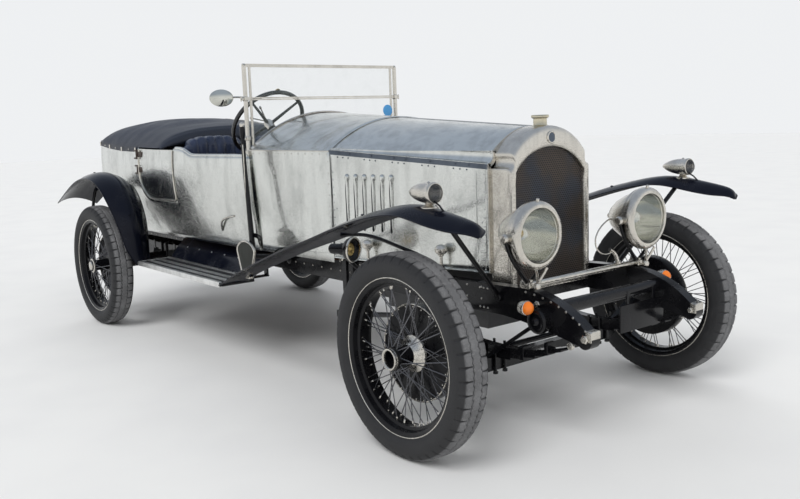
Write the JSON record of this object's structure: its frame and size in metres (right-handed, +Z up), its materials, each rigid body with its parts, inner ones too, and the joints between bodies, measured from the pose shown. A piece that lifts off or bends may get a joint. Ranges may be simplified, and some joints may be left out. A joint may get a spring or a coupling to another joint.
{
  "type": "vintage open tourer car",
  "caption": "Open four-seat vintage car with polished bonnet and body, wire wheels, black wings, separate headlamps, a folding bonnet and hinged doors.",
  "frame": {"origin": "on the ground, midway between the tail and the tips of the dumb irons, on the centreline", "axes": "+X ahead, +Y to the car's left, +Z up"},
  "size_m": [4.4089, 1.766, 1.603],
  "materials": {
    "black_enamel": "gloss enamel",
    "polished_aluminium": "polished",
    "nickel": "nickel plate",
    "tyre_rubber": "worn rubber",
    "black_wheel": "stoved black",
    "chassis_black": "satin black",
    "engine_metal": "oily cast metal",
    "exhaust_metal": "heat-stained steel",
    "core_black": "matt black",
    "dark_wood": "varnished",
    "blue_black_hide": "worn hide",
    "hood_cloth": "coated cloth",
    "clear_glass": "clear",
    "board_rubber": "ribbed mat",
    "black_rim": "gloss black"
  },
  "bodies": {
    "car": {"chassis_frame": "chassis_black", "springs_and_dampers": "chassis_black", "front_axle": "chassis_black", "rear_axle": "chassis_black", "steering_box": "chassis_black", "engine": "engine_metal", "exhaust": "exhaust_metal", "fuel_tank": "chassis_black", "radiator_shell": "nickel", "radiator_core": "core_black", "scuttle": "polished_aluminium", "body_tub": "polished_aluminium", "floor_and_dash": "dark_wood", "windscreen_frame": "nickel", "windscreen_glass": "clear_glass", "seats": "blue_black_hide", "tonneau_cover": "hood_cloth", "front_wings": "black_enamel", "rear_wings": "black_enamel", "running_boards": "board_rubber", "wing_stays": "chassis_black", "lamp_bar": "nickel", "headlamps": "nickel", "headlamp_glasses": "clear_glass", "lamps_and_horn": "nickel", "handbrake_lever": "chassis_black"},
    "steering": {"steering_wheel": "black_rim"},
    "knuckle_left": {"knuckle_left": "chassis_black"},
    "knuckle_right": {"knuckle_right": "chassis_black"},
    "wheel_front_left": {"wheel_front_left": "black_wheel", "tyre_front_left": "tyre_rubber"},
    "wheel_front_right": {"wheel_front_right": "black_wheel", "tyre_front_right": "tyre_rubber"},
    "wheel_rear_left": {"wheel_rear_left": "black_wheel", "tyre_rear_left": "tyre_rubber"},
    "wheel_rear_right": {"wheel_rear_right": "black_wheel", "tyre_rear_right": "tyre_rubber"},
    "track_rod": {"track_rod": "chassis_black"},
    "drop_arm": {"drop_arm": "chassis_black"},
    "drag_link": {"drag_link": "chassis_black"},
    "bonnet_left": {"bonnet_left": "polished_aluminium"},
    "bonnet_right": {"bonnet_right": "polished_aluminium"},
    "door_rear_right": {"door_rear_right": "polished_aluminium"},
    "door_rear_left": {"door_rear_left": "polished_aluminium"},
    "door_front_left": {"door_front_left": "polished_aluminium"}
  },
  "joints": [
    {"name": "steering_wheel_turn", "type": "hinge", "parent": "car", "child": "steering", "pos_m": [-0.149, -0.28, 1.285], "axis": [0.788, 0, -0.6157], "range_deg": [-252, 252]},
    {"name": "kingpin_left", "type": "hinge", "parent": "car", "child": "knuckle_left", "pos_m": [1.681, 0.64, 0.395], "axis": [0, 0, 1], "range_deg": [-28.5, 28.5]},
    {"name": "kingpin_right", "type": "hinge", "parent": "car", "child": "knuckle_right", "pos_m": [1.681, -0.64, 0.395], "axis": [0, 0, 1], "range_deg": [-28.5, 28.5]},
    {"name": "wheel_front_left_spin", "type": "hinge", "parent": "knuckle_left", "child": "wheel_front_left", "pos_m": [1.681, 0.795, 0.395], "axis": [0, 1, 0], "continuous": true},
    {"name": "wheel_front_right_spin", "type": "hinge", "parent": "knuckle_right", "child": "wheel_front_right", "pos_m": [1.681, -0.795, 0.395], "axis": [0, 1, 0], "continuous": true},
    {"name": "wheel_rear_left_spin", "type": "hinge", "parent": "car", "child": "wheel_rear_left", "pos_m": [-1.564, 0.795, 0.395], "axis": [0, 1, 0], "continuous": true},
    {"name": "wheel_rear_right_spin", "type": "hinge", "parent": "car", "child": "wheel_rear_right", "pos_m": [-1.564, -0.795, 0.395], "axis": [0, 1, 0], "continuous": true},
    {"name": "track_rod_eye", "type": "hinge", "parent": "knuckle_left", "child": "track_rod", "pos_m": [1.531, 0.64, 0.27], "axis": [0, 0, 1], "range_deg": [-28.5, 28.5]},
    {"name": "drop_arm_swing", "type": "hinge", "parent": "car", "child": "drop_arm", "pos_m": [0.706, -0.385, 0.619], "axis": [0, 1, 0], "range_deg": [-15.6, 15.6]},
    {"name": "drag_link_eye", "type": "hinge", "parent": "knuckle_right", "child": "drag_link", "pos_m": [1.681, -0.49, 0.4866], "axis": [0, 0, 1], "range_deg": [-28.5, 28.5]},
    {"name": "bonnet_left_hinge", "type": "hinge", "parent": "car", "child": "bonnet_left", "pos_m": [0.69, 0, 1.287], "axis": [0.9978, 0, -0.066], "range_deg": [0, 60]},
    {"name": "bonnet_right_hinge", "type": "hinge", "parent": "car", "child": "bonnet_right", "pos_m": [0.69, 0, 1.287], "axis": [-0.9978, 0, 0.066], "range_deg": [0, 60]},
    {"name": "door_rear_right_hinge", "type": "hinge", "parent": "car", "child": "door_rear_right", "pos_m": [-1.338, -0.58908, 1], "axis": [0, 0, -1], "range_deg": [0, 30]},
    {"name": "door_rear_left_hinge", "type": "hinge", "parent": "car", "child": "door_rear_left", "pos_m": [-1.338, 0.58908, 1], "axis": [0, 0, 1], "range_deg": [0, 30]},
    {"name": "door_front_left_hinge", "type": "hinge", "parent": "car", "child": "door_front_left", "pos_m": [-0.088, 0.54475, 1], "axis": [0, 0, -1], "range_deg": [0, 70]}
  ],
  "couplings": [
    {"joint": "kingpin_left", "follows": "steering_wheel_turn", "ratio": -0.11111},
    {"joint": "kingpin_right", "follows": "steering_wheel_turn", "ratio": -0.11111},
    {"joint": "track_rod_eye", "follows": "steering_wheel_turn", "ratio": 0.11111},
    {"joint": "drop_arm_swing", "follows": "steering_wheel_turn", "ratio": -0.06},
    {"joint": "drag_link_eye", "follows": "steering_wheel_turn", "ratio": 0.11111}
  ]
}
